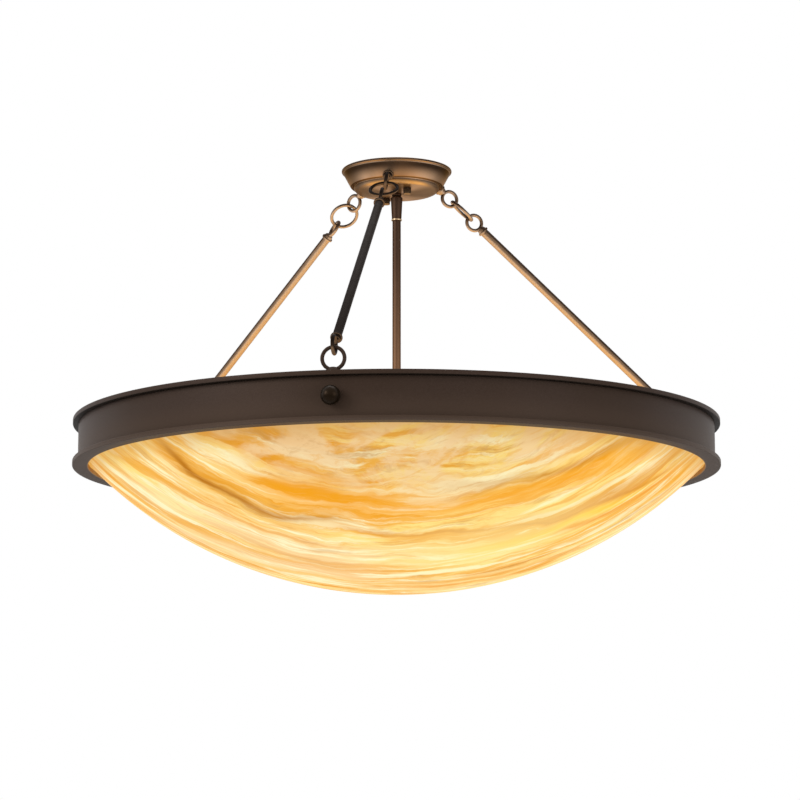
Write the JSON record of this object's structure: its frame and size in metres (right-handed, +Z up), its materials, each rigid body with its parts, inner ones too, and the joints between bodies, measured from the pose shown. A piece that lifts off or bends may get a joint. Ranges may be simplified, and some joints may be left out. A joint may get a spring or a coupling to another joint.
{
  "type": "semi flush ceiling light",
  "caption": "Round semi flush ceiling light: shallow streaked glass bowl in a banded metal ring, hung from a small canopy by ringed rods, with a central stem.",
  "frame": {"origin": "centre of the ceiling plane, where the canopy's rim lies against the ceiling", "axes": "+Z up, -Y towards the first leg"},
  "size_m": [0.9143, 0.9307, 0.6115],
  "materials": {
    "zinc_steel": "zinc plated steel, satin",
    "ground_green": "green passivated screw",
    "antique_copper": "antique copper finish on brass and steel, satin metallic",
    "dark_rod": "the same finish, darkened nearly black, satin",
    "brass_knurl": "aged brass, fine turned",
    "bronze_coat": "dark bronze powder coat, fine grain",
    "wire_cover": "wire insulation",
    "cluster_white": "white enamel",
    "holder_ceramic": "glazed porcelain",
    "lamp_glass": "opal lamp glass",
    "amber_glass": "streaked cream and amber art glass"
  },
  "bodies": {
    "canopy_group": {"box_strap": "zinc_steel", "canopy_strap": "zinc_steel", "strap_eyelet": "zinc_steel", "ground_screw": "ground_green", "canopy_screws": "zinc_steel", "canopy": "antique_copper", "saddle_washers": "zinc_steel", "canopy_loop_nuts": "zinc_steel", "canopy_loop_1": "dark_rod", "canopy_loop_2": "antique_copper", "canopy_loop_3": "antique_copper", "stem_nipple": "zinc_steel", "stem_locknut": "zinc_steel"},
    "thumb_nut_a": {"thumb_nut_1": "brass_knurl"},
    "thumb_nut_b": {"thumb_nut_2": "brass_knurl"},
    "swivel": {"swivel_ball": "antique_copper"},
    "stem": {"swivel_cup": "antique_copper", "stem_ferrule": "brass_knurl", "stem_tube": "antique_copper", "stem_wires": "wire_cover", "cluster_hub": "cluster_white", "cluster_cap": "cluster_white", "cluster_finial": "antique_copper", "lampholder_1": "holder_ceramic", "lampholder_2": "holder_ceramic", "lampholder_3": "holder_ceramic", "lampholder_4": "holder_ceramic"},
    "ring": {"top_ring": "bronze_coat", "band": "bronze_coat", "seat_ring": "bronze_coat", "glass_bowl": "amber_glass", "knob_studs": "zinc_steel", "ring_eye_1": "bronze_coat", "ring_eye_2": "bronze_coat", "ring_eye_3": "bronze_coat", "hanger_block_1": "zinc_steel", "hanger_block_2": "zinc_steel", "hanger_block_3": "zinc_steel"},
    "leg_1": {"link_1": "dark_rod", "rod_top_loop_1": "dark_rod", "rod_1": "dark_rod", "rod_foot_loop_1": "dark_rod"},
    "knob_1": {"ball_knob_1": "bronze_coat"},
    "leg_2": {"link_2": "antique_copper", "rod_top_loop_2": "antique_copper", "rod_2": "antique_copper", "rod_foot_loop_2": "antique_copper"},
    "knob_2": {"ball_knob_2": "bronze_coat"},
    "leg_3": {"link_3": "antique_copper", "rod_top_loop_3": "antique_copper", "rod_3": "antique_copper", "rod_foot_loop_3": "antique_copper"},
    "knob_3": {"ball_knob_3": "bronze_coat"},
    "bulb_1": {"lamp_1": "lamp_glass"},
    "bulb_2": {"lamp_2": "lamp_glass"},
    "bulb_3": {"lamp_3": "lamp_glass"},
    "bulb_4": {"lamp_4": "lamp_glass"}
  },
  "joints": [
    {"name": "bowl_turn", "type": "hinge", "parent": "canopy_group", "child": "ring", "pos_m": [0, 0, -0.4], "axis": [0, 0, 1], "range_deg": [-3, 3]},
    {"name": "leg_1_swing", "type": "hinge", "parent": "canopy_group", "child": "leg_1", "pos_m": [0, -0.08811, -0.04108], "axis": [0, -0.6452, 0.764], "range_deg": [-3, 3]},
    {"name": "leg_2_swing", "type": "hinge", "parent": "canopy_group", "child": "leg_2", "pos_m": [0.0763, 0.04405, -0.04108], "axis": [0.5587, 0.3226, 0.764], "range_deg": [-3, 3]},
    {"name": "leg_3_swing", "type": "hinge", "parent": "canopy_group", "child": "leg_3", "pos_m": [-0.0763, 0.04405, -0.04108], "axis": [-0.5587, 0.3226, 0.764], "range_deg": [-3, 3]},
    {"name": "swivel_turn", "type": "hinge", "parent": "canopy_group", "child": "swivel", "pos_m": [0, 0, -0.047], "axis": [0, 0, 1], "range_deg": [-170, 170]},
    {"name": "stem_tilt", "type": "hinge", "parent": "swivel", "child": "stem", "pos_m": [0, 0, -0.047], "axis": [1, 0, 0], "range_deg": [-4, 4]},
    {"name": "thumb_nut_a_turn", "type": "hinge", "parent": "canopy_group", "child": "thumb_nut_a", "pos_m": [0.02053, -0.02825, -0.036], "axis": [0, 0, 1], "continuous": true},
    {"name": "thumb_nut_b_turn", "type": "hinge", "parent": "canopy_group", "child": "thumb_nut_b", "pos_m": [-0.02053, 0.02825, -0.036], "axis": [0, 0, 1], "continuous": true},
    {"name": "knob_1_turn", "type": "hinge", "parent": "ring", "child": "knob_1", "pos_m": [0, -0.4608, -0.4056], "axis": [0, -1, 0], "continuous": true},
    {"name": "knob_2_turn", "type": "hinge", "parent": "ring", "child": "knob_2", "pos_m": [0.39906, 0.2304, -0.4056], "axis": [0.866, 0.5, 0], "continuous": true},
    {"name": "knob_3_turn", "type": "hinge", "parent": "ring", "child": "knob_3", "pos_m": [-0.39906, 0.2304, -0.4056], "axis": [-0.866, 0.5, 0], "continuous": true},
    {"name": "lamp_1_out", "type": "slide", "parent": "stem", "child": "bulb_1", "axis": [0.6409, -0.6409, 0.4226], "range_m": [0, 0.03]},
    {"name": "lamp_2_out", "type": "slide", "parent": "stem", "child": "bulb_2", "axis": [0.6409, 0.6409, 0.4226], "range_m": [0, 0.03]},
    {"name": "lamp_3_out", "type": "slide", "parent": "stem", "child": "bulb_3", "axis": [-0.6409, 0.6409, 0.4226], "range_m": [0, 0.03]},
    {"name": "lamp_4_out", "type": "slide", "parent": "stem", "child": "bulb_4", "axis": [-0.6409, -0.6409, 0.4226], "range_m": [0, 0.03]}
  ],
  "couplings": [
    {"joint": "leg_1_swing", "follows": "bowl_turn", "ratio": 0.95239},
    {"joint": "leg_2_swing", "follows": "bowl_turn", "ratio": 0.95239},
    {"joint": "leg_3_swing", "follows": "bowl_turn", "ratio": 0.95239}
  ]
}
